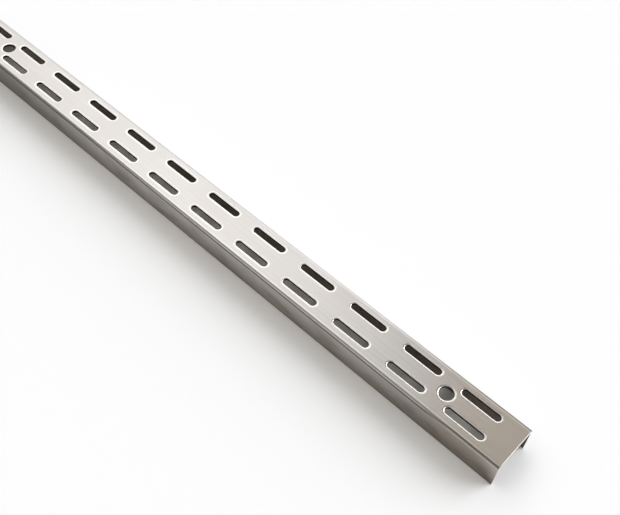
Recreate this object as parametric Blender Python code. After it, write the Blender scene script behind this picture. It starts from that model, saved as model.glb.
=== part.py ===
"""Twin slot upright: one length of plated steel strip, bent to a plain channel.

The channel lies web up on the edges of its two flanges. Its length runs along
X, its web faces +Z, and the origin is under the middle of the channel, on the
plane that the flanges stand on. Two rows of round-ended slots, level with each
other in pairs, take the tongues of shelf brackets. Round holes between two
pairs take the screws that fix the channel to a wall.
"""

import math

import bmesh
import bpy
from mathutils import Vector

# Sizes of the strip and of its section, in metres
UPRIGHT_LENGTH = 0.430
WEB_WIDTH = 0.025
CHANNEL_DEPTH = 0.0155
SHEET_THICKNESS = 0.0015
BEND_INNER_RADIUS = 0.0007

# Sizes and places of the slots, in metres
SLOT_PITCH = 0.032
SLOT_LENGTH = 0.0205
SLOT_WIDTH = 0.0037
ROW_SPACING = 0.0122
END_TO_FIRST_SLOT = 0.0225
LEAST_LAND_AFTER_SLOT = 0.008

# Sizes and places of the screw holes, in metres
HOLE_DIAMETER = 0.0072
FIRST_SLOT_TO_HOLE = 0.0142
PAIRS_PER_HOLE = 10
LEAST_LAND_AFTER_HOLE = 0.010

# How far a punch reaches past each face of the web, in metres
PUNCH_OVERRUN = 0.001

# Facets of the round shapes
BEND_STEPS = 8
SLOT_END_STEPS = 12
HOLE_STEPS = 40
SMOOTH_ANGLE = math.radians(30.0)

# Finish of the plated steel
STEEL_COLOUR = (0.60, 0.57, 0.53, 1.0)
STEEL_ROUGHNESS = 0.32
STEEL_METALLIC = 1.0

# Sizes that follow from the ones above
BEND_OUTER_RADIUS = BEND_INNER_RADIUS + SHEET_THICKNESS
HALF_LENGTH = UPRIGHT_LENGTH / 2.0
HALF_WIDTH = WEB_WIDTH / 2.0
FIRST_SLOT_X = HALF_LENGTH - END_TO_FIRST_SLOT
FIRST_HOLE_X = FIRST_SLOT_X - FIRST_SLOT_TO_HOLE
HOLE_PITCH = PAIRS_PER_HOLE * SLOT_PITCH
PUNCH_BOTTOM = CHANNEL_DEPTH - SHEET_THICKNESS - PUNCH_OVERRUN
PUNCH_HEIGHT = SHEET_THICKNESS + 2.0 * PUNCH_OVERRUN


def clear_scene():
    """Remove every object that the new scene starts with."""
    for scene_object in list(bpy.data.objects):
        bpy.data.objects.remove(scene_object, do_unlink=True)


def arc(centre, radius, start, end, steps):
    """Points of an arc from one angle to another, both ends included."""
    points = []
    for step in range(steps + 1):
        angle = start + (end - start) * step / steps
        points.append((centre[0] + radius * math.cos(angle), centre[1] + radius * math.sin(angle)))
    return points


def channel_section():
    """Closed outline of the bent strip, as (y, z) points: its outer skin and then its inner one."""
    right_angle = math.pi / 2.0
    bend_y = HALF_WIDTH - BEND_OUTER_RADIUS
    bend_z = CHANNEL_DEPTH - BEND_OUTER_RADIUS
    left_bend = (-bend_y, bend_z)
    right_bend = (bend_y, bend_z)
    outer = [(HALF_WIDTH, 0.0)]
    outer += arc(right_bend, BEND_OUTER_RADIUS, 0.0, right_angle, BEND_STEPS)
    outer += arc(left_bend, BEND_OUTER_RADIUS, right_angle, math.pi, BEND_STEPS)
    outer.append((-HALF_WIDTH, 0.0))
    inner = [(SHEET_THICKNESS - HALF_WIDTH, 0.0)]
    inner += arc(left_bend, BEND_INNER_RADIUS, math.pi, right_angle, BEND_STEPS)
    inner += arc(right_bend, BEND_INNER_RADIUS, right_angle, 0.0, BEND_STEPS)
    inner.append((HALF_WIDTH - SHEET_THICKNESS, 0.0))
    return outer + inner


def slot_outline(centre_x, centre_y):
    """Outline of one slot with full round ends, as (x, y) points."""
    radius = SLOT_WIDTH / 2.0
    reach = SLOT_LENGTH / 2.0 - radius
    quarter = math.pi / 2.0
    near_end = arc((centre_x + reach, centre_y), radius, -quarter, quarter, SLOT_END_STEPS)
    far_end = arc((centre_x - reach, centre_y), radius, quarter, 3.0 * quarter, SLOT_END_STEPS)
    return near_end + far_end


def hole_outline(centre_x):
    """Outline of one screw hole on the web's centre line, as (x, y) points."""
    full_circle = arc((centre_x, 0.0), HOLE_DIAMETER / 2.0, 0.0, 2.0 * math.pi, HOLE_STEPS)
    return full_circle[:-1]


def pattern_count(first_x, half_size, pitch, least_land):
    """How many cuts fit from the first one to the far end, with material left after the last."""
    room = first_x + HALF_LENGTH - half_size - least_land
    return max(0, math.floor(room / pitch) + 1)


def add_prism(solid, corners, extrusion):
    """Extrude a closed outline, given by its 3-D corners, into a solid with both ends closed."""
    base = solid.faces.new([solid.verts.new(corner) for corner in corners])
    extruded = bmesh.ops.extrude_face_region(solid, geom=[base])
    moved = [item for item in extruded["geom"] if isinstance(item, bmesh.types.BMVert)]
    bmesh.ops.translate(solid, vec=extrusion, verts=moved)


def add_object(name, solid):
    """Finish a bmesh as a scene object, its faces pointing out and its round faces smooth."""
    bmesh.ops.recalc_face_normals(solid, faces=solid.faces)
    mesh = bpy.data.meshes.new(name)
    solid.to_mesh(mesh)
    solid.free()
    mesh.shade_smooth()
    mesh.set_sharp_from_angle(angle=SMOOTH_ANGLE)
    finished = bpy.data.objects.new(name, mesh)
    bpy.context.scene.collection.objects.link(finished)
    return finished


def plated_steel():
    """Satin plated steel, the finish of the whole channel."""
    steel = bpy.data.materials.new("satin_plated_steel")
    steel.use_nodes = True
    shader = steel.node_tree.nodes["Principled BSDF"]
    shader.inputs["Base Color"].default_value = STEEL_COLOUR
    shader.inputs["Metallic"].default_value = STEEL_METALLIC
    shader.inputs["Roughness"].default_value = STEEL_ROUGHNESS
    return steel


def bent_channel():
    """The plain channel, before it is punched."""
    solid = bmesh.new()
    corners = [Vector((-HALF_LENGTH, y, z)) for y, z in channel_section()]
    add_prism(solid, corners, Vector((UPRIGHT_LENGTH, 0.0, 0.0)))
    return add_object("slotted_channel", solid)


def punch_tool(name, outlines):
    """One cutter with a prism through the web for each outline."""
    solid = bmesh.new()
    for outline in outlines:
        corners = [Vector((x, y, PUNCH_BOTTOM)) for x, y in outline]
        add_prism(solid, corners, Vector((0.0, 0.0, PUNCH_HEIGHT)))
    tool = add_object(name, solid)
    tool.hide_render = True
    tool.display_type = "WIRE"
    return tool


def slot_punches():
    """Cutter for both rows of slots, which lie level with each other."""
    count = pattern_count(FIRST_SLOT_X, SLOT_LENGTH / 2.0, SLOT_PITCH, LEAST_LAND_AFTER_SLOT)
    outlines = []
    for pair in range(count):
        for row_y in (-ROW_SPACING / 2.0, ROW_SPACING / 2.0):
            outlines.append(slot_outline(FIRST_SLOT_X - pair * SLOT_PITCH, row_y))
    return punch_tool("slot_punches", outlines)


def hole_punches():
    """Cutter for the screw holes, each between two pairs of slots."""
    count = pattern_count(FIRST_HOLE_X, HOLE_DIAMETER / 2.0, HOLE_PITCH, LEAST_LAND_AFTER_HOLE)
    outlines = [hole_outline(FIRST_HOLE_X - index * HOLE_PITCH) for index in range(count)]
    return punch_tool("hole_punches", outlines)


def punch(channel, tool):
    """Cut a punch tool's prisms out of the channel."""
    cut = channel.modifiers.new(tool.name, "BOOLEAN")
    cut.operation = "DIFFERENCE"
    cut.solver = "EXACT"
    cut.object = tool


def build():
    """Model the upright."""
    clear_scene()
    channel = bent_channel()
    channel.data.materials.append(plated_steel())
    punch(channel, slot_punches())
    punch(channel, hole_punches())


build()
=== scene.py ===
"""Twin slot upright: the looks of a punched, bent and plated steel channel.

The channel's fine mesh has rolled punch edges, broken sheet edges and smooth
bends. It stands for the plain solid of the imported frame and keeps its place
and its size. A pale studio floor, soft lights and a camera complete the scene.
"""

import logging
import math
from dataclasses import dataclass, field
from enum import Enum
from typing import Any, Iterable, Mapping, Sequence

import bmesh
import bpy
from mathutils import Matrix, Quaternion, Vector


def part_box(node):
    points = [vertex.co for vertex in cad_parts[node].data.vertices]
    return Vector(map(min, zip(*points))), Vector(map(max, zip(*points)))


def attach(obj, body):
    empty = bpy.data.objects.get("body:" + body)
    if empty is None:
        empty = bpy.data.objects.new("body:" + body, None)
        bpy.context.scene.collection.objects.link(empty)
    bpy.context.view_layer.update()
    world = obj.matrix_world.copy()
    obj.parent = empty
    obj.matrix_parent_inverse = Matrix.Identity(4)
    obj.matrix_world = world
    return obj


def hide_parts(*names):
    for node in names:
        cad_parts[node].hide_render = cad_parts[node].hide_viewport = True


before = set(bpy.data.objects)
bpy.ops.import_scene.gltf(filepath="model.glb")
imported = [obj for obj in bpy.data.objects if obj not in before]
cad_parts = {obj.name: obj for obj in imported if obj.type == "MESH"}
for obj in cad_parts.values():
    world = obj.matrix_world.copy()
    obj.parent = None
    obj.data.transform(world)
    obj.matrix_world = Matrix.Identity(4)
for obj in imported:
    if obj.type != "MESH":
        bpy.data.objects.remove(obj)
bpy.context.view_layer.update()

LOG = logging.getLogger("twin_slot_upright")
CHANNEL_NODE = "slotted_channel"
BODY = "root"
MM = 0.001
QUARTER_TURN = 0.5 * math.pi
WELD_DISTANCE = 0.001 * MM

# What an input of a node can take
Source = bpy.types.Node | bpy.types.NodeSocket | Vector | tuple[float, ...] | float
# Most of a noise's values lie in this part of its 0 to 1
NOISE_SPREAD = (0.3, 0.7)
# Places of the two colours among the Mix node's inputs
MIX_UNDER = 6
MIX_OVER = 7


def linear(hex_colour: str) -> tuple[float, float, float, float]:
    """Turn an sRGB hex colour into linear RGBA.

    Args:
        hex_colour: Six hex digits after a hash sign.

    Returns:
        Red, green and blue as linear light, and an alpha of 1.
    """
    channels = []
    for start in (1, 3, 5):
        value = int(hex_colour[start:start + 2], 16) / 255.0
        channels.append(value / 12.92 if value <= 0.04045 else ((value + 0.055) / 1.055) ** 2.4)
    return (channels[0], channels[1], channels[2], 1.0)


def add_node(
    tree: bpy.types.NodeTree,
    kind: str,
    settings: Mapping[str, Any] | None = None,
    inputs: Mapping[str | int, Source] | None = None,
) -> bpy.types.Node:
    """Add a node with its settings and links.

    Args:
        tree: Node tree that takes the node.
        kind: Type name of the node.
        settings: Settings of the node itself, by name.
        inputs: What each input takes, by name or index. A node stands for its first output in use.

    Returns:
        The new node.
    """
    node = tree.nodes.new(kind)
    for name, value in (settings or {}).items():
        setattr(node, name, value)
    for key, source in (inputs or {}).items():
        if isinstance(source, bpy.types.Node):
            source = next(output for output in source.outputs if output.enabled)
        if isinstance(source, bpy.types.NodeSocket):
            tree.links.new(source, node.inputs[key])
        else:
            node.inputs[key].default_value = source
    return node


def empty_tree(owner: bpy.types.Material | bpy.types.World) -> bpy.types.NodeTree:
    """Switch a material or a world to nodes and clear its tree.

    Args:
        owner: Material or world.

    Returns:
        Its empty node tree.
    """
    owner.use_nodes = True
    owner.node_tree.nodes.clear()
    return owner.node_tree


class Skin(Enum):
    """The surfaces that a punched and plated strip has, as material indices."""

    PLATED_FACE = 0
    BURNISH_AND_HIGHLIGHT_ROLL = 1
    SHEARED_EDGE = 2
    PUNCHED_WALL = 3
    INNER_WEB = 4
    INNER_SIDE = 5


class Axis(Enum):
    """Directions on the upright, as names of its coordinates."""

    ALONG = "X"
    ACROSS = "Y"
    UP = "Z"


class Slope(Enum):
    """Ways in which a value changes, by their names in Blender."""

    SOFT = "SMOOTHSTEP"
    STRAIGHT = "LINEAR"


def strip_noise(
    tree: bpy.types.NodeTree, length_mm: float, width_mm: float, detail: float = 2.0
) -> bpy.types.Node:
    """Noise whose patches are drawn out along the upright, as rolling leaves them.

    Args:
        tree: Node tree that takes the nodes.
        length_mm: Size of a patch along the upright.
        width_mm: Size of a patch across it.
        detail: Octaves of finer noise.

    Returns:
        The noise, from 0 to 1.
    """
    along = 1.0 / (length_mm * MM)
    across = 1.0 / (width_mm * MM)
    place = add_node(tree, "ShaderNodeTexCoord")
    scaled = add_node(
        tree,
        "ShaderNodeMapping",
        inputs={"Vector": place.outputs["Object"], "Scale": (along, across, across)},
    )
    return add_node(
        tree, "ShaderNodeTexNoise", inputs={"Vector": scaled, "Scale": 1.0, "Detail": detail}
    )


def patches(
    tree: bpy.types.NodeTree,
    length_mm: float,
    width_mm: float,
    spread: tuple[float, float] = NOISE_SPREAD,
    shares: tuple[Source, Source] = (0.0, 1.0),
) -> bpy.types.Node:
    """Share that changes softly from patch to patch of the strip.

    Args:
        tree: Node tree that takes the nodes.
        length_mm: Size of a patch along the upright.
        width_mm: Size of a patch across it.
        spread: Part of the noise over which the share changes.
        shares: Share below that part, and share above it.

    Returns:
        The share.
    """
    return add_node(
        tree,
        "ShaderNodeMapRange",
        {"interpolation_type": Slope.SOFT.value},
        {
            "Value": strip_noise(tree, length_mm, width_mm),
            "From Min": spread[0],
            "From Max": spread[1],
            "To Min": shares[0],
            "To Max": shares[1],
        },
    )


def fade(
    tree: bpy.types.NodeTree,
    axis: Axis,
    reach: tuple[float, float],
    shares: tuple[Source, Source],
    shift: Source = 0.0,
    slope: Slope = Slope.SOFT,
) -> bpy.types.Node:
    """Share that changes between two places on the upright.

    A share may itself be a fade, so that fades along and across the upright nest.

    Args:
        tree: Node tree that takes the nodes.
        axis: Direction in which it changes.
        reach: Where the change starts and where it ends, in millimetres from the frame's origin.
        shares: Share before the start, and share past the end.
        shift: How far both places are moved on, in millimetres.
        slope: Way in which it changes.

    Returns:
        The share.
    """
    place = add_node(tree, "ShaderNodeTexCoord")
    in_mm = add_node(
        tree,
        "ShaderNodeVectorMath",
        {"operation": "SCALE"},
        {"Vector": place.outputs["Object"], "Scale": 1.0 / MM},
    )
    parts = add_node(tree, "ShaderNodeSeparateXYZ", inputs={"Vector": in_mm})
    level = add_node(
        tree, "ShaderNodeMath", {"operation": "SUBTRACT"}, {0: parts.outputs[axis.value], 1: shift}
    )
    return add_node(
        tree,
        "ShaderNodeMapRange",
        {"interpolation_type": slope.value},
        {
            "Value": level,
            "From Min": reach[0],
            "From Max": reach[1],
            "To Min": shares[0],
            "To Max": shares[1],
        },
    )


def band(
    tree: bpy.types.NodeTree,
    reach: tuple[float, float],
    soft: float,
    share: Source,
    shift: Source = 0.0,
) -> bpy.types.Node:
    """Share on a band of heights, with soft edges outside it.

    Args:
        tree: Node tree that takes the nodes.
        reach: Height where the band starts and where it ends, in millimetres above the floor.
        soft: Width of each soft edge, in millimetres.
        share: Share on the band. It is 0 away from it.
        shift: How far the band is moved up, in millimetres.

    Returns:
        The share.
    """
    low, high = reach
    below_top = fade(tree, Axis.UP, (high, high + soft), (share, 0.0), shift)
    return fade(tree, Axis.UP, (low - soft, low), (0.0, below_top), shift)


@dataclass(frozen=True)
class Coat:
    """A tone that covers a share of what lies under it."""

    tone: Source
    share: Source


def lay_coats(tree: bpy.types.NodeTree, ground: Source, coats: Iterable[Coat]) -> Source:
    """Lay coats over a ground colour, one on top of the other.

    Args:
        tree: Node tree that takes the nodes.
        ground: The ground colour.
        coats: The coats, from the lowest up.

    Returns:
        The colour that they give together.
    """
    colour = ground
    for coat in coats:
        colour = add_node(
            tree,
            "ShaderNodeMix",
            {"data_type": "RGBA"},
            {"Factor": coat.share, MIX_UNDER: colour, MIX_OVER: coat.tone},
        )
    return colour


@dataclass(frozen=True)
class Finish:
    """A surface finish, which builds its own node material."""

    name: str

    def shader(self, tree: bpy.types.NodeTree) -> bpy.types.Node:
        """Add the finish's shader, which each kind of finish makes in its own way."""
        raise NotImplementedError(self.name)

    def material(self) -> bpy.types.Material:
        """Build the node material.

        Returns:
            The material.
        """
        made = bpy.data.materials.new(self.name)
        tree = empty_tree(made)
        add_node(tree, "ShaderNodeOutputMaterial", inputs={"Surface": self.shader(tree)})
        return made


@dataclass(frozen=True)
class PlatedStrip(Finish):
    """Satin nickel plate over cold-rolled steel strip.

    Rolling leaves faint straight lines along the strip, and the bath a tone
    that is a little uneven, with a warmer cast where the film is thicker.
    """

    name: str = "satin_plated_strip"
    light_tone: str = "#D2D0CF"
    dark_tone: str = "#CAC8C6"
    tone_spread: tuple[float, float] = (0.75, 1.25)
    warm_tone: str = "#CBC1B4"
    roughness: tuple[float, float] = (0.30, 0.33)
    bath_length_mm: float = 54.4
    bath_width_mm: float = 34.0
    cast_length_mm: float = 55.0
    cast_width_mm: float = 14.0
    cast_spread: tuple[float, float] = (0.45, 0.7)
    cast_share: float = 0.20
    line_length_mm: float = 240.0
    line_width_mm: float = 1.1
    # Rolling grain is about 0.05 mm wide, drawn at 0.4 mm so that a pixel can hold it
    grain_length_mm: float = 16.0
    grain_width_mm: float = 0.4
    grain_height_mm: float = 0.005
    waviness_mm: float = 45.0
    waviness_height_mm: float = 0.10

    def tone(self, tree: bpy.types.NodeTree) -> Source:
        """Colour of the plate, paler and darker by the bath and the rolling lines.

        Args:
            tree: Node tree that takes the nodes.

        Returns:
            The colour.
        """
        bath = strip_noise(tree, self.bath_length_mm, self.bath_width_mm)
        lines = strip_noise(tree, self.line_length_mm, self.line_width_mm)
        both = add_node(tree, "ShaderNodeMath", {"operation": "ADD"}, {0: bath, 1: lines})
        paler = add_node(
            tree,
            "ShaderNodeMapRange",
            {"interpolation_type": Slope.SOFT.value},
            {"Value": both, "From Min": self.tone_spread[0], "From Max": self.tone_spread[1]},
        )
        warmer = patches(
            tree, self.cast_length_mm, self.cast_width_mm, self.cast_spread, (0.0, self.cast_share)
        )
        coats = (Coat(linear(self.light_tone), paler), Coat(linear(self.warm_tone), warmer))
        return lay_coats(tree, linear(self.dark_tone), coats)

    def relief(self, tree: bpy.types.NodeTree) -> bpy.types.Node:
        """Normal of the slightly wavy sheet with its fine grain.

        Args:
            tree: Node tree that takes the nodes.

        Returns:
            The normal.
        """
        waves = strip_noise(tree, self.waviness_mm, self.waviness_mm, detail=0.0)
        grain = strip_noise(tree, self.grain_length_mm, self.grain_width_mm)
        wavy = add_node(
            tree,
            "ShaderNodeBump",
            inputs={"Strength": 1.0, "Distance": self.waviness_height_mm * MM, "Height": waves},
        )
        return add_node(
            tree,
            "ShaderNodeBump",
            inputs={
                "Strength": 1.0,
                "Distance": self.grain_height_mm * MM,
                "Height": grain,
                "Normal": wavy,
            },
        )

    def shader(self, tree: bpy.types.NodeTree) -> bpy.types.Node:
        """Bare metal shader, rougher along some rolling lines.

        Args:
            tree: Node tree that takes the nodes.

        Returns:
            The shader.
        """
        return add_node(
            tree,
            "ShaderNodeBsdfPrincipled",
            inputs={
                "Base Color": self.tone(tree),
                "Metallic": 1.0,
                "Roughness": patches(
                    tree, self.line_length_mm, self.line_width_mm, shares=self.roughness
                ),
                "Normal": self.relief(tree),
            },
        )


@dataclass(frozen=True)
class BentPlatedStrip(PlatedStrip):
    """The same plate after the press brake, with painted light and shade on its bends and sides.

    The near corner carries a painted highlight, and a painted dark reflection runs along the bends below
    it. The sides carry painted shade, deeper towards the foot and towards both ends, with brownish
    mottles. Heights are above the floor, places along the upright from its middle, and each reach is
    where a change starts and ends, all in millimetres.
    """

    mark_soft_mm: float = 0.16

    # Painted warm reflection towards the near end
    warm_reflection_tone: str = "#D3CBC2"
    warm_reflection_reach: tuple[float, float] = (158.0, 200.0)

    # Painted shade on the sides, darkest at the feet and faint at the bends
    side_shade_tone: str = "#878077"
    shade_share_at_top: float = 0.16
    side_top_mm: float = 13.3
    side_fade_mm: float = 14.6
    mottle_tone: str = "#7F7468"
    mottle_length_mm: float = 18.0
    mottle_width_mm: float = 7.0
    mottle_spread: tuple[float, float] = (0.48, 0.68)
    mottle_share: float = 0.8

    # Painted shade on the sides, deeper towards both ends
    end_shade_tone: str = "#5A554E"
    end_shade_top_reach: tuple[float, float] = (14.3, 15.2)
    near_shade_reach: tuple[float, float] = (125.0, 205.0)
    near_shade_share: float = 0.30
    far_shade_reach: tuple[float, float] = (-150.0, -15.0)
    far_shade_share: float = 0.62

    # Painted highlight along the top of the -Y side's bend
    corner_highlight_tone: str = "#DCDAD6"
    corner_highlight_reach: tuple[float, float] = (14.95, 15.32)
    corner_highlight_side_reach: tuple[float, float] = (-1.0, 1.0)

    # Painted dark reflection in a line along the lower part of both bends
    painted_dark_tone: str = "#68635D"
    dark_line_reach: tuple[float, float] = (13.25, 14.10)
    dark_line_patch_mm: float = 60.0
    dark_line_spread: tuple[float, float] = (0.3, 0.55)
    dark_line_patch_shares: tuple[float, float] = (0.88, 1.0)
    # Close to the near end the painted dark line sits higher and is fainter
    near_climb_reach: tuple[float, float] = (171.0, 193.0)
    near_climb_mm: float = 0.95
    near_climb_share: float = 0.55
    # Towards the far end the painted dark line is a little higher and darker
    far_painted_dark_tone: str = "#534F4A"
    far_climb_reach: tuple[float, float] = (-60.0, 30.0)
    far_climb_mm: float = 0.35

    # Painted shade on the other corner's near stretch
    far_bend_reach: tuple[float, float] = (15.0, 15.42)
    far_bend_soft_mm: float = 0.08
    far_bend_side_reach: tuple[float, float] = (9.0, 10.0)
    far_bend_along_reach: tuple[float, float] = (120.0, 195.0)
    far_bend_share: float = 0.8

    def tone(self, tree: bpy.types.NodeTree) -> Source:
        """Colour of the plate with painted shade, highlights and reflections on its bends and sides.

        Args:
            tree: Node tree that takes the nodes.

        Returns:
            The colour.
        """
        coats = (
            self.painted_warm_reflection(tree),
            self.painted_side_shade(tree),
            self.mottles(tree),
            self.painted_end_shade(tree),
            self.painted_corner_highlight(tree),
            self.painted_dark_bend_line(tree),
            self.painted_far_corner_shade(tree),
        )
        return lay_coats(tree, super().tone(tree), coats)

    def painted_warm_reflection(self, tree: bpy.types.NodeTree) -> Coat:
        """Painted warm reflection towards the near end."""
        share = fade(tree, Axis.ALONG, self.warm_reflection_reach, (0.0, 1.0))
        return Coat(linear(self.warm_reflection_tone), share)

    def shade_toward_feet(self, tree: bpy.types.NodeTree, share: float) -> bpy.types.Node:
        """Share of painted shade, which falls from the sides' feet to the bends.

        Args:
            tree: Node tree that takes the nodes.
            share: Share at the feet.

        Returns:
            The share.
        """
        on_side = fade(
            tree,
            Axis.UP,
            (0.0, self.side_top_mm),
            (share, share * self.shade_share_at_top),
            slope=Slope.STRAIGHT,
        )
        return fade(tree, Axis.UP, (self.side_top_mm, self.side_fade_mm), (on_side, 0.0))

    def painted_side_shade(self, tree: bpy.types.NodeTree) -> Coat:
        """Painted shade on the sides, darkest at the feet."""
        return Coat(linear(self.side_shade_tone), self.shade_toward_feet(tree, 1.0))

    def mottles(self, tree: bpy.types.NodeTree) -> Coat:
        """Brownish mottles on the sides, which grow with the painted shade towards the feet.

        Args:
            tree: Node tree that takes the nodes.

        Returns:
            The coat.
        """
        share = patches(
            tree,
            self.mottle_length_mm,
            self.mottle_width_mm,
            self.mottle_spread,
            (0.0, self.shade_toward_feet(tree, self.mottle_share)),
        )
        return Coat(linear(self.mottle_tone), share)

    def painted_end_shade(self, tree: bpy.types.NodeTree) -> Coat:
        """Painted shade on the sides, deeper towards both ends.

        Args:
            tree: Node tree that takes the nodes.

        Returns:
            The coat.
        """
        far = fade(tree, Axis.ALONG, self.far_shade_reach, (self.far_shade_share, 0.0))
        both = fade(tree, Axis.ALONG, self.near_shade_reach, (far, self.near_shade_share))
        share = fade(tree, Axis.UP, self.end_shade_top_reach, (both, 0.0))
        return Coat(linear(self.end_shade_tone), share)

    def painted_corner_highlight(self, tree: bpy.types.NodeTree) -> Coat:
        """Painted highlight along the top of the -Y side's bend.

        Args:
            tree: Node tree that takes the nodes.

        Returns:
            The coat.
        """
        on_edge = fade(tree, Axis.ACROSS, self.corner_highlight_side_reach, (1.0, 0.0))
        share = band(tree, self.corner_highlight_reach, self.mark_soft_mm, on_edge)
        return Coat(linear(self.corner_highlight_tone), share)

    def painted_dark_bend_line(self, tree: bpy.types.NodeTree) -> Coat:
        """Painted dark reflection in a line along the lower part of both bends.

        Args:
            tree: Node tree that takes the nodes.

        Returns:
            The coat.
        """
        far_climb = fade(tree, Axis.ALONG, self.far_climb_reach, (self.far_climb_mm, 0.0))
        climb = fade(tree, Axis.ALONG, self.near_climb_reach, (far_climb, self.near_climb_mm))
        uneven = patches(
            tree, self.dark_line_patch_mm, self.dark_line_patch_mm, self.dark_line_spread, self.dark_line_patch_shares
        )
        fainter = fade(tree, Axis.ALONG, self.near_climb_reach, (1.0, self.near_climb_share))
        dark_line_share = add_node(tree, "ShaderNodeMath", {"operation": "MULTIPLY"}, {0: uneven, 1: fainter})
        deeper = Coat(
            linear(self.far_painted_dark_tone), fade(tree, Axis.ALONG, self.far_climb_reach, (1.0, 0.0))
        )
        tone = lay_coats(tree, linear(self.painted_dark_tone), (deeper,))
        return Coat(tone, band(tree, self.dark_line_reach, self.mark_soft_mm, dark_line_share, climb))

    def painted_far_corner_shade(self, tree: bpy.types.NodeTree) -> Coat:
        """Painted shade on the top of the +Y side's bend, deeper towards the near end.

        Args:
            tree: Node tree that takes the nodes.

        Returns:
            The coat.
        """
        along = fade(tree, Axis.ALONG, self.far_bend_along_reach, (0.0, self.far_bend_share))
        on_edge = fade(tree, Axis.ACROSS, self.far_bend_side_reach, (0.0, along))
        share = band(tree, self.far_bend_reach, self.far_bend_soft_mm, on_edge)
        return Coat(linear(self.painted_dark_tone), share)


@dataclass(frozen=True)
class MouthShadedStrip(PlatedStrip):
    """Plate inside the channel, with painted shade at its two open mouths."""

    # Painted shade on the inside near both mouths
    mouth_shade_tone: str = "#625C55"
    mouth_shade_start_mm: float = 200.0
    mouth_shade_end_mm: float = 207.0

    def tone(self, tree: bpy.types.NodeTree) -> Source:
        """Colour of the plate with painted shade at the mouths.

        Args:
            tree: Node tree that takes the nodes.

        Returns:
            The colour.
        """
        far_reach = (-self.mouth_shade_end_mm, -self.mouth_shade_start_mm)
        near_reach = (self.mouth_shade_start_mm, self.mouth_shade_end_mm)
        far = fade(tree, Axis.ALONG, far_reach, (1.0, 0.0))
        both = fade(tree, Axis.ALONG, near_reach, (far, 1.0))
        return lay_coats(tree, super().tone(tree), (Coat(linear(self.mouth_shade_tone), both),))


@dataclass(frozen=True)
class WorkedSteel(Finish):
    """Plated steel that a tool has worked, such as a punched or sheared edge.

    The tool leaves fine marks side by side, some bright and smooth, some torn
    and duller. They are a tenth of a millimetre or so across, and are drawn at
    half a millimetre and more so that a pixel can hold them.
    """

    bright_tone: str
    torn_tone: str
    roughness: tuple[float, float]
    mark_length_mm: float = 0.5
    mark_width_mm: float = 0.5

    def shader(self, tree: bpy.types.NodeTree) -> bpy.types.Node:
        """Bare metal shader, duller and rougher where the tool tore.

        Args:
            tree: Node tree that takes the nodes.

        Returns:
            The shader.
        """
        torn = patches(tree, self.mark_length_mm, self.mark_width_mm)
        roughness = patches(tree, self.mark_length_mm, self.mark_width_mm, shares=self.roughness)
        coats = (Coat(linear(self.torn_tone), torn),)
        return add_node(
            tree,
            "ShaderNodeBsdfPrincipled",
            inputs={
                "Base Color": lay_coats(tree, linear(self.bright_tone), coats),
                "Metallic": 1.0,
                "Roughness": roughness,
            },
        )


def finishes() -> dict[Skin, Finish]:
    """Finish of each skin.

    Returns:
        The finishes by skin, in the order of their indices.
    """
    return {
        Skin.PLATED_FACE: BentPlatedStrip(),
        # Partly real burnish, partly painted highlight: rubbed bright by the punch as it pulls the face
        # down with it, and paler than bare steel
        Skin.BURNISH_AND_HIGHLIGHT_ROLL: WorkedSteel(
            name="burnish_and_highlight_punch_roll",
            bright_tone="#F4F2EF",
            torn_tone="#E8E5E1",
            roughness=(0.20, 0.28),
            mark_length_mm=2.0,
            mark_width_mm=0.8,
        ),
        # Bright where it is cut, duller where it is torn, with lines through the sheet; paler than bare
        # steel as a painted highlight
        Skin.SHEARED_EDGE: WorkedSteel(
            name="sheared_edge_and_highlight",
            bright_tone="#FAF9F7",
            torn_tone="#E4E1DC",
            roughness=(0.25, 0.45),
        ),
        # The punch shears the top of the wall and tears the rest, which is coarse; the wall's near-black
        # tone is painted shade inside the slot as well
        Skin.PUNCHED_WALL: WorkedSteel(
            name="shaded_punched_wall",
            bright_tone="#5E5A56",
            torn_tone="#3A3734",
            roughness=(0.35, 0.55),
        ),
        # Darker tones inside the channel, as painted shade of the recess
        Skin.INNER_WEB: PlatedStrip(
            name="shaded_inner_web_plate",
            light_tone="#C9C3B9",
            dark_tone="#BEB7AB",
            warm_tone="#BBAE9C",
            roughness=(0.38, 0.50),
        ),
        Skin.INNER_SIDE: MouthShadedStrip(
            name="shaded_inner_side_plate",
            light_tone="#B3ACA4",
            dark_tone="#A19A91",
            warm_tone="#9C8E7B",
            roughness=(0.38, 0.50),
        ),
    }


@dataclass(frozen=True)
class StudioPaper(Finish):
    """Matt white background paper, which keeps a soft shadow."""

    name: str = "matt_background_paper"
    tone: str = "#F8FBFD"

    def shader(self, tree: bpy.types.NodeTree) -> bpy.types.Node:
        """Plain diffuse shader, as uncoated paper has."""
        return add_node(tree, "ShaderNodeBsdfDiffuse", inputs={"Color": linear(self.tone)})


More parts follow.
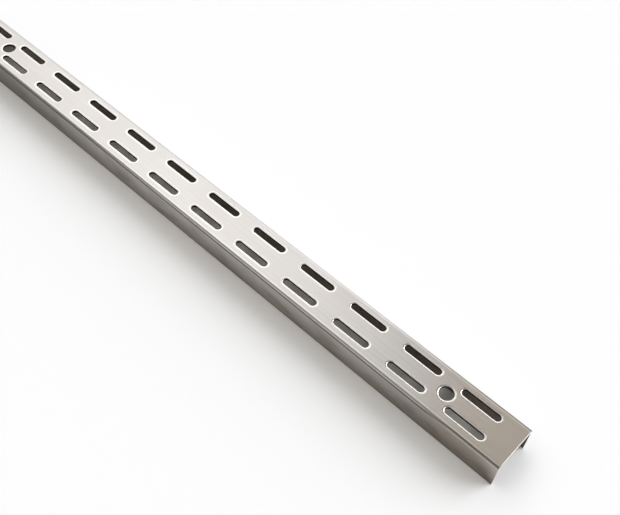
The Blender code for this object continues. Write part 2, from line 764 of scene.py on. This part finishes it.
@dataclass(frozen=True)
class BentSheet:
    """The bent strip's cross-section, in metres."""

    width: float
    depth: float
    thickness: float = 1.5 * MM
    inner_radius: float = 0.7 * MM
    edge_radius: float = 0.18 * MM
    least_corner: float = 0.02 * MM
    bend_steps: int = 16
    edge_steps: int = 3

    @property
    def outer_radius(self) -> float:
        """Radius of the bend's outer skin."""
        return self.inner_radius + self.thickness

    @property
    def bend_y(self) -> float:
        """Distance of a bend's axis from the centre line."""
        return 0.5 * self.width - self.outer_radius

    @property
    def bend_z(self) -> float:
        """Height of the bends' axes."""
        return self.depth - self.outer_radius

    def half_outline(self, inset: float) -> list[tuple[float, float]]:
        """Outline of the half on the +Y side, from the web's outer face round to its inner face.

        Args:
            inset: How far the outline is drawn in from the sheet's true skin.

        Returns:
            Points (y, z), from the outer end of the web's bend to the inner end.
        """
        half = 0.5 * self.width
        corner = max(self.edge_radius - inset, self.least_corner)
        outer_foot = (half - inset - corner, inset + corner)
        inner_foot = (half - self.thickness + inset + corner, inset + corner)
        bend = (self.bend_y, self.bend_z)
        points = arc(bend, self.outer_radius - inset, QUARTER_TURN, 0.0, self.bend_steps)
        points += arc(outer_foot, corner, 0.0, -QUARTER_TURN, self.edge_steps)
        points += arc(inner_foot, corner, -QUARTER_TURN, -2.0 * QUARTER_TURN, self.edge_steps)
        points += arc(bend, self.inner_radius + inset, 0.0, QUARTER_TURN, self.bend_steps)
        return points

    def outline(self, inset: float) -> list[tuple[float, float]]:
        """Closed outline of the whole section.

        Args:
            inset: How far the outline is drawn in from the sheet's true skin.

        Returns:
            Points (y, z).
        """
        right = self.half_outline(inset)
        left = [(-y, z) for y, z in reversed(right)]
        return right + left


def arc(
    centre: tuple[float, float], radius: float, start: float, end: float, steps: int
) -> list[tuple[float, float]]:
    """Points of an arc, both ends included.

    Args:
        centre: Centre of the arc.
        radius: Radius of the arc.
        start: Angle of the first point, in radians.
        end: Angle of the last point, in radians.
        steps: Number of steps between them.

    Returns:
        The points.
    """
    points = []
    for step in range(steps + 1):
        angle = start + (end - start) * step / steps
        points.append((centre[0] + radius * math.cos(angle), centre[1] + radius * math.sin(angle)))
    return points


@dataclass(frozen=True)
class Punch:
    """A punch with round ends, which pulls down the face that it enters, in metres.

    A reach of 0 makes it a round punch. The pulled-down face starts level with
    the sheet, dips in a wide shallow arc and rolls over a tight one to the wall.
    """

    reach: float
    radius: float
    dip_radius: float = 7.0 * MM
    dip_angle: float = math.radians(6.0)
    roll_radius: float = 1.2 * MM
    roll_angle: float = math.radians(26.0)
    burr_break: float = 0.10 * MM
    overrun: float = 1.0 * MM
    # Keeps every level of the punch clear of the sheet's two faces
    clearance: float = 0.002 * MM
    end_steps: int = 14
    dip_steps: int = 4
    roll_steps: int = 5

    def loop(self, centre: tuple[float, float], offset: float, height: float) -> list[Vector]:
        """One level of the punch's side.

        Args:
            centre: Middle of the cut, (x, y).
            offset: How far this level stands out from the straight wall.
            height: Its height.

        Returns:
            Its corners.
        """
        radius = self.radius + offset
        near = (centre[0] + self.reach, centre[1])
        far = (centre[0] - self.reach, centre[1])
        points = arc(near, radius, -QUARTER_TURN, QUARTER_TURN, self.end_steps)
        points += arc(far, radius, QUARTER_TURN, 3.0 * QUARTER_TURN, self.end_steps)
        return [Vector((x, y, height)) for x, y in points]

    def levels(self, bottom: float, top: float) -> list[tuple[float, float, Skin]]:
        """Levels of the punch's side, from the bottom up.

        Args:
            bottom: Height of the sheet's inner face.
            top: Height of the sheet's outer face.

        Returns:
            For each level its offset, its height and the skin that it leaves below it.
        """
        width = self.fall(self.roll_angle)[0]
        made = [
            (self.burr_break, bottom - self.overrun, Skin.PUNCHED_WALL),
            (self.burr_break, bottom - self.clearance, Skin.PUNCHED_WALL),
            (0.0, bottom + self.burr_break, Skin.PUNCHED_WALL),
        ]
        rolls = self.roll_angle - self.dip_angle
        slopes = [self.roll_angle - rolls * step / self.roll_steps for step in range(self.roll_steps)]
        slopes += [self.dip_angle * (1.0 - step / self.dip_steps) for step in range(self.dip_steps + 1)]
        for slope in slopes:
            inward, drop = self.fall(slope)
            skin = Skin.BURNISH_AND_HIGHLIGHT_ROLL if slope < self.roll_angle else Skin.PUNCHED_WALL
            made.append((width - inward, top + self.clearance - drop, skin))
        made.append((width, top + self.overrun, Skin.BURNISH_AND_HIGHLIGHT_ROLL))
        return made

    def fall(self, slope: float) -> tuple[float, float]:
        """How far the pulled-down face has gone where it has a slope.

        Args:
            slope: The slope, in radians.

        Returns:
            Its distance in from where it starts, and its drop.
        """
        dip = min(slope, self.dip_angle)
        roll = max(slope, self.dip_angle)
        inward = self.dip_radius * math.sin(dip)
        inward += self.roll_radius * (math.sin(roll) - math.sin(self.dip_angle))
        drop = self.dip_radius * (1.0 - math.cos(dip))
        drop += self.roll_radius * (math.cos(self.dip_angle) - math.cos(roll))
        return inward, drop

    def add_to(
        self, solid: bmesh.types.BMesh, centre: tuple[float, float], bottom: float, top: float
    ) -> None:
        """Add the punch's solid to a mesh.

        Args:
            solid: Mesh that takes it.
            centre: Middle of the cut, (x, y).
            bottom: Height of the sheet's inner face.
            top: Height of the sheet's outer face.
        """
        rings = []
        skins = []
        for offset, height, skin in self.levels(bottom, top):
            rings.append([solid.verts.new(corner) for corner in self.loop(centre, offset, height)])
            skins.append(skin)
        skin_between(solid, rings, skins)


def skin_between(
    solid: bmesh.types.BMesh,
    rings: Sequence[Sequence[bmesh.types.BMVert]],
    skins: Sequence[Skin],
) -> None:
    """Join rings of corners with faces and close both ends.

    Args:
        solid: Mesh that holds the rings.
        rings: Rings with the same number of corners.
        skins: Skin of each ring's faces, which lead to it from the ring before.
    """
    for lower, upper, skin in zip(rings, rings[1:], skins[1:]):
        for index in range(len(lower)):
            after = (index + 1) % len(lower)
            face = solid.faces.new((lower[index], lower[after], upper[after], upper[index]))
            face.material_index = skin.value
    solid.faces.new(list(reversed(rings[0]))).material_index = skins[0].value
    solid.faces.new(rings[-1]).material_index = skins[-1].value


@dataclass
class PunchPattern:
    """Places of the slots and of the screw holes along the web, in metres."""

    slot_pitch: float = 32.0 * MM
    slot_length: float = 20.5 * MM
    slot_width: float = 3.7 * MM
    row_spacing: float = 12.2 * MM
    end_to_first_slot: float = 22.5 * MM
    hole_diameter: float = 7.2 * MM
    first_slot_to_hole: float = 14.2 * MM
    pairs_per_hole: int = 10
    # Least metal left between the last cut and the far end
    least_land: float = 8.0 * MM
    hole_steps: int = 24

    def slot_punch(self) -> Punch:
        """Punch of one slot."""
        radius = 0.5 * self.slot_width
        return Punch(reach=0.5 * self.slot_length - radius, radius=radius)

    def hole_punch(self) -> Punch:
        """Punch of one screw hole."""
        return Punch(reach=0.0, radius=0.5 * self.hole_diameter, end_steps=self.hole_steps)

    def places(self, first: float, pitch: float, half_size: float, far_end: float) -> list[float]:
        """Middles of the cuts of one row.

        Args:
            first: Place of the first cut, nearest the near end.
            pitch: Distance between cuts.
            half_size: Half of a cut's length.
            far_end: Place of the far end.

        Returns:
            The middles, as x.
        """
        count = math.floor((first - half_size - self.least_land - far_end) / pitch) + 1
        return [first - index * pitch for index in range(count)]

    def add_to(self, solid: bmesh.types.BMesh, sheet: BentSheet, near_end: float, far_end: float) -> int:
        """Add every punch to a mesh.

        Args:
            solid: Mesh that takes them.
            sheet: The bent sheet that they cut.
            near_end: Place of the near end, as x.
            far_end: Place of the far end, as x.

        Returns:
            The number of cuts.
        """
        bottom = sheet.depth - sheet.thickness
        first = near_end - self.end_to_first_slot
        slots = self.places(first, self.slot_pitch, 0.5 * self.slot_length, far_end)
        first_hole = first - self.first_slot_to_hole
        hole_pitch = self.pairs_per_hole * self.slot_pitch
        holes = self.places(first_hole, hole_pitch, 0.5 * self.hole_diameter, far_end)
        for x in slots:
            for side in (-0.5, 0.5):
                self.slot_punch().add_to(solid, (x, side * self.row_spacing), bottom, sheet.depth)
        for x in holes:
            self.hole_punch().add_to(solid, (x, 0.0), bottom, sheet.depth)
        return 2 * len(slots) + len(holes)


@dataclass
class PunchedUpright:
    """The whole upright: one bent strip with its slots and screw holes."""

    sheet: BentSheet
    near_end: float
    far_end: float
    pattern: PunchPattern = field(default_factory=PunchPattern)
    end_radius: float = 0.15 * MM
    end_steps: int = 3
    smooth_angle: float = math.radians(38.0)
    # How far past its true place a face still counts as inside the channel or at an end
    web_margin: float = 0.01 * MM
    side_margin: float = 0.1 * MM
    end_margin: float = 1.0 * MM
    # Faces are told apart by these parts of their unit normals
    facing: float = 0.9
    facing_down: float = 0.7
    facing_aside: float = 0.3
    facing_camera_side: float = 0.05

    @classmethod
    def from_frame(cls, node: str) -> "PunchedUpright":
        """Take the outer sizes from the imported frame.

        Args:
            node: Name of the frame's node.

        Returns:
            The upright.
        """
        low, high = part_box(node)
        sheet = BentSheet(width=high.y - low.y, depth=high.z - low.z)
        return cls(sheet=sheet, near_end=high.x, far_end=low.x)

    def stations(self) -> list[tuple[float, float]]:
        """Places of the section along the upright, with rounded cut ends.

        Returns:
            For each station its x and how far its outline is drawn in.
        """
        rounding = []
        for step in range(self.end_steps + 1):
            angle = QUARTER_TURN * step / self.end_steps
            inset = self.end_radius * (1.0 - math.sin(angle))
            depth = self.end_radius * (1.0 - math.cos(angle))
            rounding.append((inset, depth))
        made = [(self.far_end + depth, inset) for inset, depth in rounding]
        middle = self.near_end - self.pattern.end_to_first_slot + 0.5 * self.pattern.slot_pitch
        between_pairs = []
        while middle > self.far_end + self.pattern.slot_pitch:
            middle -= self.pattern.slot_pitch
            between_pairs.append((middle, 0.0))
        made += reversed(between_pairs)
        made += [(self.near_end - depth, inset) for inset, depth in reversed(rounding)]
        return made

    def blank(self) -> bmesh.types.BMesh:
        """The bent strip before it is punched.

        Returns:
            Its closed mesh.
        """
        solid = bmesh.new()
        rings = []
        for x, inset in self.stations():
            corners = [Vector((x, y, z)) for y, z in self.sheet.outline(inset)]
            rings.append([solid.verts.new(corner) for corner in corners])
        skin_between(solid, rings, [Skin.PLATED_FACE] * len(rings))
        return solid

    def skin_of(self, polygon: bpy.types.MeshPolygon) -> Skin:
        """Skin of a finished face, from where it lies and which way it faces.

        Args:
            polygon: Face of the punched mesh, with the skin that its tool left.

        Returns:
            Its skin.
        """
        left = Skin(polygon.material_index)
        middle = polygon.center
        normal = polygon.normal
        web_bottom = self.sheet.depth - self.sheet.thickness + self.web_margin
        side_inside = 0.5 * self.sheet.width - self.sheet.thickness + self.side_margin
        in_web = middle.z > web_bottom and abs(middle.y) < self.sheet.bend_y
        in_length = self.far_end + self.end_margin < middle.x < self.near_end - self.end_margin
        faces_end = abs(normal.x) > self.facing and abs(normal.z) < self.facing_aside
        if faces_end and not (in_web and in_length):
            return Skin.SHEARED_EDGE
        if normal.z < -self.facing and middle.z < self.sheet.edge_radius:
            return Skin.SHEARED_EDGE
        # Painted highlight on the rolls: those that face -Y keep the plain plate, the others take the
        # bright finish
        if left is Skin.BURNISH_AND_HIGHLIGHT_ROLL and normal.y < -self.facing_camera_side:
            return Skin.PLATED_FACE
        # Faces inside the channel take the darker inner finishes, painted shade of the recess
        if left is Skin.PLATED_FACE and middle.z < web_bottom and abs(middle.y) < side_inside:
            return Skin.INNER_WEB if normal.z < -self.facing_down else Skin.INNER_SIDE
        return left

    def build(self) -> bpy.types.Object:
        """Punch the blank and mark its skins.

        Returns:
            The piece.
        """
        blank = object_from("upright_blank", self.blank())
        tools = bmesh.new()
        cuts = self.pattern.add_to(tools, self.sheet, self.near_end, self.far_end)
        punches = object_from("upright_punches", tools)
        LOG.info("%s: %d cuts", punches.name, cuts)
        for part in (blank, punches):
            for _ in Skin:
                part.data.materials.append(None)
        punched = blank.modifiers.new("punched", "BOOLEAN")
        punched.operation = "DIFFERENCE"
        punched.solver = "EXACT"
        punched.object = punches
        mesh = evaluated_mesh(blank)
        bpy.data.objects.remove(punches)
        bpy.data.objects.remove(blank)
        mesh.name = "punched_upright"
        mesh.shade_smooth()
        mesh.set_sharp_from_angle(angle=self.smooth_angle)
        for polygon in mesh.polygons:
            polygon.material_index = self.skin_of(polygon).value
        piece = bpy.data.objects.new("punched_upright", mesh)
        bpy.context.scene.collection.objects.link(piece)
        weighted = piece.modifiers.new("flat_faces_stay_flat", "WEIGHTED_NORMAL")
        weighted.mode = "FACE_AREA"
        weighted.keep_sharp = True
        return piece

    def dress(self, piece: bpy.types.Object) -> None:
        """Give the piece its finishes and its place in the frame.

        Args:
            piece: Mesh object from build.
        """
        for skin, finish in finishes().items():
            piece.data.materials[skin.value] = finish.material()
        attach(piece, BODY)
        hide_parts(CHANNEL_NODE)


def object_from(name: str, solid: bmesh.types.BMesh) -> bpy.types.Object:
    """Make a scene object from a bmesh, with its faces pointing out.

    Args:
        name: Name of the object.
        solid: Mesh, which is freed.

    Returns:
        The object.
    """
    bmesh.ops.remove_doubles(solid, verts=solid.verts, dist=WELD_DISTANCE)
    bmesh.ops.recalc_face_normals(solid, faces=solid.faces)
    mesh = bpy.data.meshes.new(name)
    solid.to_mesh(mesh)
    solid.free()
    made = bpy.data.objects.new(name, mesh)
    bpy.context.scene.collection.objects.link(made)
    return made


def evaluated_mesh(source: bpy.types.Object) -> bpy.types.Mesh:
    """Mesh of an object with its modifiers applied.

    Args:
        source: The object.

    Returns:
        A new mesh.
    """
    depsgraph = bpy.context.evaluated_depsgraph_get()
    return bpy.data.meshes.new_from_object(source.evaluated_get(depsgraph))


@dataclass(frozen=True)
class Softbox:
    """A large round lamp, so far off that it lights the whole floor evenly. Angles are in degrees."""

    name: str
    azimuth: float
    elevation: float
    half_angle: float
    radiance: float
    tone: str = "#FFFFFF"

    def build(self) -> bpy.types.Object:
        """Place the lamp.

        Returns:
            The lamp.
        """
        spread = math.radians(self.half_angle)
        lamp = bpy.data.lights.new(self.name, "SUN")
        lamp.angle = 2.0 * spread
        lamp.energy = self.radiance * math.pi * math.sin(spread) ** 2
        lamp.color = linear(self.tone)[:3]
        placed = bpy.data.objects.new(self.name, lamp)
        direction = towards(self.azimuth, self.elevation)
        placed.location = direction
        placed.rotation_mode = "QUATERNION"
        placed.rotation_quaternion = direction.to_track_quat("Z", "Y")
        bpy.context.scene.collection.objects.link(placed)
        return placed


def towards(azimuth: float, elevation: float) -> Vector:
    """Unit vector towards a place in the sky.

    Args:
        azimuth: Degrees from +Y towards -X.
        elevation: Degrees above the horizon.

    Returns:
        The vector.
    """
    turn = math.radians(azimuth)
    rise = math.radians(elevation)
    level = math.cos(rise)
    return Vector((-math.sin(turn) * level, math.cos(turn) * level, math.sin(rise)))


@dataclass
class Studio:
    """Floor, lamps and dim surroundings, in metres and degrees."""

    floor_radius: float = 20.0
    floor_sides: int = 96
    horizon_tone: str = "#FCFBFB"
    horizon_reach: tuple[float, float] = (1.0, 8.0)
    dim_tone: str = "#89847E"
    back_tone: str = "#6B6357"
    back_azimuth: float = 20.0
    back_spread: float = 60.0
    # Each softbox by its name, azimuth, elevation, half angle, radiance and tone
    softboxes: Sequence[Softbox] = (
        Softbox("left_softbox", 68.5, 50.5, 24.6, 1.11),
        Softbox("left_core_softbox", 55.5, 44.5, 9.0, 0.40),
        Softbox("front_left_softbox", 122.0, 56.0, 18.0, 1.05),
        Softbox("back_right_softbox", -34.3, 29.6, 25.6, 4.62, "#FAFBFF"),
        Softbox("back_low_softbox", 17.0, 30.0, 17.5, 1.45),
        Softbox("back_left_low_softbox", 42.0, 19.0, 15.0, 0.92),
        Softbox("camera_side_softbox", 225.0, 51.0, 7.0, 8.9, "#FFF4E8"),
    )

    def floor(self) -> bpy.types.Object:
        """Build the flat paper floor.

        Returns:
            The floor.
        """
        solid = bmesh.new()
        bmesh.ops.create_circle(solid, cap_ends=True, segments=self.floor_sides, radius=self.floor_radius)
        made = object_from("paper_floor", solid)
        made.data.materials.append(StudioPaper().material())
        return made

    def surroundings(self) -> None:
        """Light the scene dimly from all round, pale at the horizon and warm behind."""
        world = bpy.data.worlds.new("studio_surroundings")
        tree = empty_tree(world)
        sight = add_node(tree, "ShaderNodeTexCoord").outputs["Generated"]
        parts = add_node(tree, "ShaderNodeSeparateXYZ", inputs={"Vector": sight})
        facing_back = add_node(
            tree,
            "ShaderNodeVectorMath",
            {"operation": "DOT_PRODUCT"},
            {0: sight, 1: towards(self.back_azimuth, 0.0)},
        )
        back = add_node(
            tree,
            "ShaderNodeMapRange",
            {"interpolation_type": Slope.SOFT.value},
            {"Value": facing_back, "From Max": math.cos(math.radians(self.back_spread))},
        )
        start, end = (math.sin(math.radians(angle)) for angle in self.horizon_reach)
        above = add_node(
            tree,
            "ShaderNodeMapRange",
            {"interpolation_type": Slope.SOFT.value},
            {"Value": parts.outputs["Z"], "From Min": start, "From Max": end},
        )
        dim = lay_coats(tree, linear(self.dim_tone), (Coat(linear(self.back_tone), back),))
        sky = lay_coats(tree, linear(self.horizon_tone), (Coat(dim, above),))
        light = add_node(tree, "ShaderNodeBackground", inputs={"Color": sky})
        add_node(tree, "ShaderNodeOutputWorld", inputs={"Surface": light})
        bpy.context.scene.world = world

    def build(self) -> list[bpy.types.Object]:
        """Set up the floor, the surroundings and the lamps.

        Returns:
            The floor and the lamps.
        """
        made = [self.floor()]
        self.surroundings()
        made += [softbox.build() for softbox in self.softboxes]
        return made


@dataclass(frozen=True)
class PhotoCamera:
    """Camera at the photograph's viewing angle, in metres and degrees."""

    place: tuple[float, float, float] = (0.25411, -0.18859, 0.34232)
    azimuth: float = 39.958
    drop: float = 51.290
    roll: float = -4.477
    lens_mm: float = 50.822
    sensor_mm: float = 36.0
    nearest: float = 0.01
    farthest: float = 60.0

    def build(self) -> bpy.types.Object:
        """Place the camera and make it the scene's own.

        Returns:
            The camera.
        """
        lens = bpy.data.cameras.new("photo_camera")
        lens.lens = self.lens_mm
        lens.sensor_width = self.sensor_mm
        lens.clip_start = self.nearest
        lens.clip_end = self.farthest
        camera = bpy.data.objects.new("photo_camera", lens)
        ahead = towards(self.azimuth, -self.drop)
        camera.location = self.place
        camera.rotation_mode = "QUATERNION"
        upright = ahead.to_track_quat("-Z", "Y")
        camera.rotation_quaternion = Quaternion(ahead, math.radians(self.roll)) @ upright
        bpy.context.scene.collection.objects.link(camera)
        bpy.context.scene.camera = camera
        return camera


def main() -> None:
    """Build the upright, its studio and the camera, and report each piece."""
    logging.basicConfig(level=logging.INFO, format="%(name)s: %(message)s")
    bpy.context.scene.view_settings.view_transform = "Standard"
    upright = PunchedUpright.from_frame(CHANNEL_NODE)
    piece = upright.build()
    upright.dress(piece)
    LOG.info("%s: %d faces, riding on %s", piece.name, len(piece.data.polygons), BODY)
    for stage_piece in Studio().build():
        LOG.info("%s: %s of the studio", stage_piece.name, stage_piece.type.lower())
    camera = PhotoCamera().build()
    LOG.info("%s: lens of %.1f mm", camera.name, camera.data.lens)


if __name__ == "__main__":
    main()
